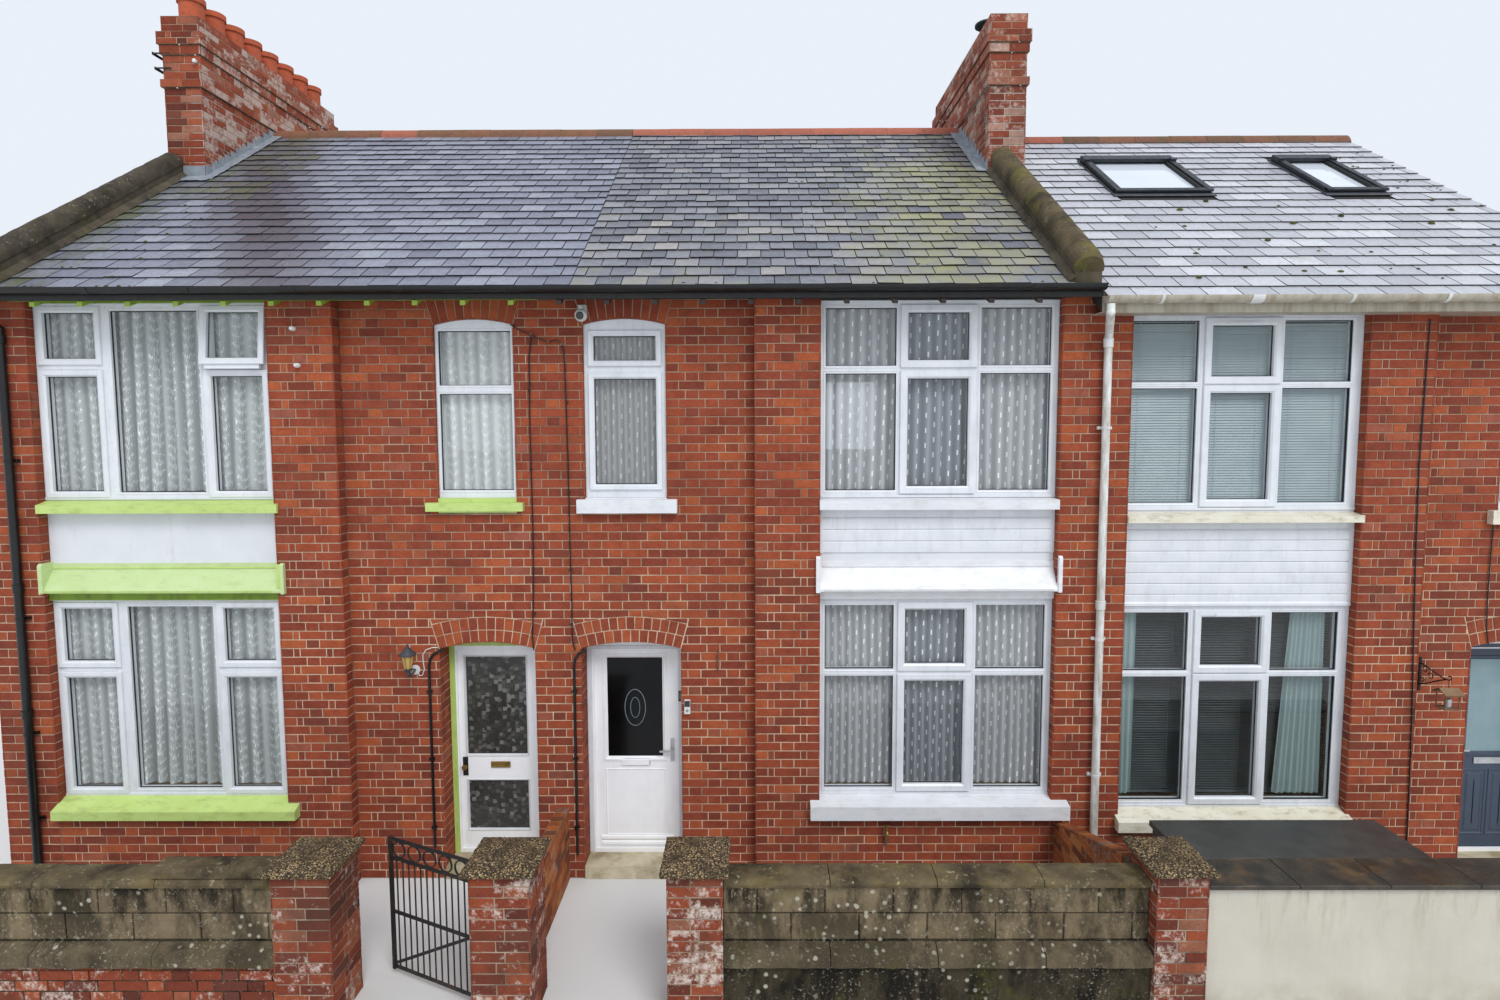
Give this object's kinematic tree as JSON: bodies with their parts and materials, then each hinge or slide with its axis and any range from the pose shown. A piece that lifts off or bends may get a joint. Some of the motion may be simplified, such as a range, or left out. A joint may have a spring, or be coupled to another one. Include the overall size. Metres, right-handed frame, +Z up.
{
  "type": "terraced house row",
  "caption": "Row of two-storey brick terraced houses with shared slate roof, parapet walls, chimney stacks, bay-width windows, arched front doors and a walled front garden with an iron gate.",
  "frame": {"origin": "middle of the row's plan, at ground level", "axes": "+X along the row to the right as seen from the street, -Y towards the street, +Z up"},
  "size_m": [14.473, 9.332, 9.03],
  "materials": {
    "brick": "red facing brick with pale mortar joints",
    "brick_old": "weathered red brick with patchy joints",
    "white_board": "white boards and render",
    "plaster": "plain plaster",
    "concrete": "weathered concrete with moss",
    "terracotta": "unglazed terracotta",
    "dark_metal": "dark grey paint, satin",
    "slate": "riven roofing slate, part mossy",
    "glass": "clear glazing",
    "black_plastic": "black plastic rainwater goods",
    "dark_wood": "painted rafter ends",
    "white_plastic": "white extruded plastic",
    "painted_sill": "painted cement",
    "floor_wood": "plain boards",
    "brass": "worn brass",
    "chrome": "bright chrome",
    "blue_door": "blue-grey composite door",
    "block_stone": "lichened concrete blocks",
    "cream_render": "cream painted render",
    "dark_slab": "dark wet slabs",
    "black_iron": "black wrought iron"
  },
  "bodies": {
    "house": {"pilasters": "brick", "bay_aprons": "brick", "bay_panels": "white_board", "door_bay_jambs": "brick", "door_bay_walls": "brick", "rear_wall": "brick", "end_walls": "brick", "party_walls": "plaster", "parapets": "concrete", "parapet_copings": "concrete", "chimney_stacks": "brick_old", "chimney_pots": "terracotta", "chimney_cowl": "dark_metal", "roof_front": "slate", "roof_rear": "slate", "ridge_tiles": "terracotta", "rooflight_frames": "dark_metal", "rooflight_glass": "glass", "gutters": "black_plastic", "downpipes": "black_plastic", "rafter_feet": "dark_wood", "bay_window_frames": "white_plastic", "bay_window_glass": "glass", "small_window_frames": "white_plastic", "small_window_glass": "glass", "rear_window_frames": "white_plastic", "rear_window_glass": "glass", "window_sills": "painted_sill", "canopies": "painted_sill", "door_frames": "white_plastic", "door_steps": "concrete", "ground_floor": "concrete", "upper_floor": "floor_wood", "garden_piers": "brick_old", "pier_caps": "concrete", "garden_walls": "block_stone", "dividing_walls": "brick_old", "rendered_wall": "cream_render", "wall_slabs": "dark_slab", "bin_store": "dark_slab", "gate_pins": "black_iron", "wall_lantern": "dark_metal", "wall_camera": "white_plastic", "door_bell": "black_plastic"},
    "door_a": {"door_leaf_a": "white_plastic", "door_glass_a": "glass", "door_fittings_a": "brass"},
    "door_b": {"door_leaf_b": "white_plastic", "door_glass_b": "glass", "door_fittings_b": "chrome"},
    "door_c": {"door_leaf_c": "blue_door", "door_glass_c": "glass", "door_fittings_c": "chrome"},
    "gate": {"garden_gate": "black_iron"}
  },
  "joints": [
    {"name": "door_a_hinge", "type": "hinge", "parent": "house", "child": "door_a", "pos_m": [-2.4855, -2.513, 0], "axis": [0, 0, -1], "range_deg": [0, 90]},
    {"name": "door_b_hinge", "type": "hinge", "parent": "house", "child": "door_b", "pos_m": [-1.9595, -2.513, 0], "axis": [0, 0, 1], "range_deg": [0, 90]},
    {"name": "door_c_hinge", "type": "hinge", "parent": "house", "child": "door_c", "pos_m": [6.8825, -2.513, 0], "axis": [0, 0, -1], "range_deg": [0, 90]},
    {"name": "gate_hinge", "type": "hinge", "parent": "house", "child": "gate", "pos_m": [-2.4485, -4.416, 0], "axis": [0, 0, -1], "range_deg": [-24, 66]}
  ]
}
